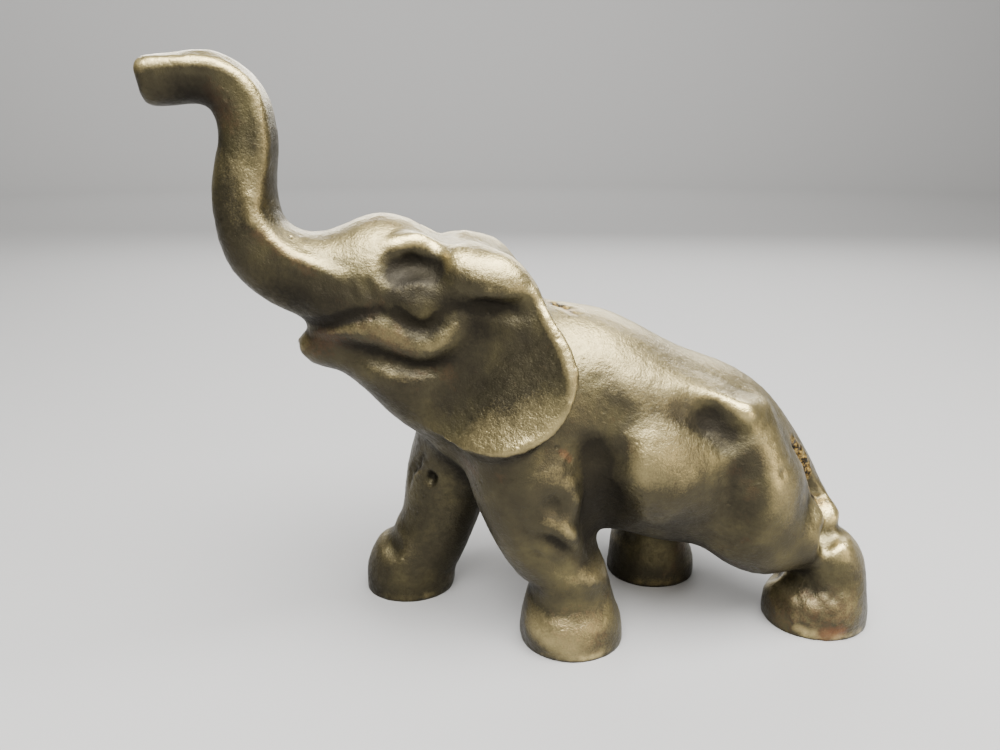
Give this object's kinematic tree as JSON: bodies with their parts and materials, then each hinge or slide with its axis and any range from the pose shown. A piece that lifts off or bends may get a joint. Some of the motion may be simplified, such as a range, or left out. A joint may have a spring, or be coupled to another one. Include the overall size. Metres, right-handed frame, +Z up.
{
  "type": "bronze elephant sculpture",
  "caption": "Small cast bronze elephant in mid stride with its trunk raised in an S, dark brown patina worn bright on the high forms",
  "frame": {"origin": "middle of the bounding box in X and Y, at the soles in Z", "axes": "X runs along the body with the head towards -X, Y runs across with the elephant's left side towards -Y, Z is up from the soles"},
  "size_m": [0.162, 0.0522, 0.1312],
  "materials": {
    "bronze": "dark brown patina over cast bronze, satin, with brassy worn highlights"
  },
  "bodies": {
    "root": {"elephant": "bronze"}
  },
  "joints": []
}
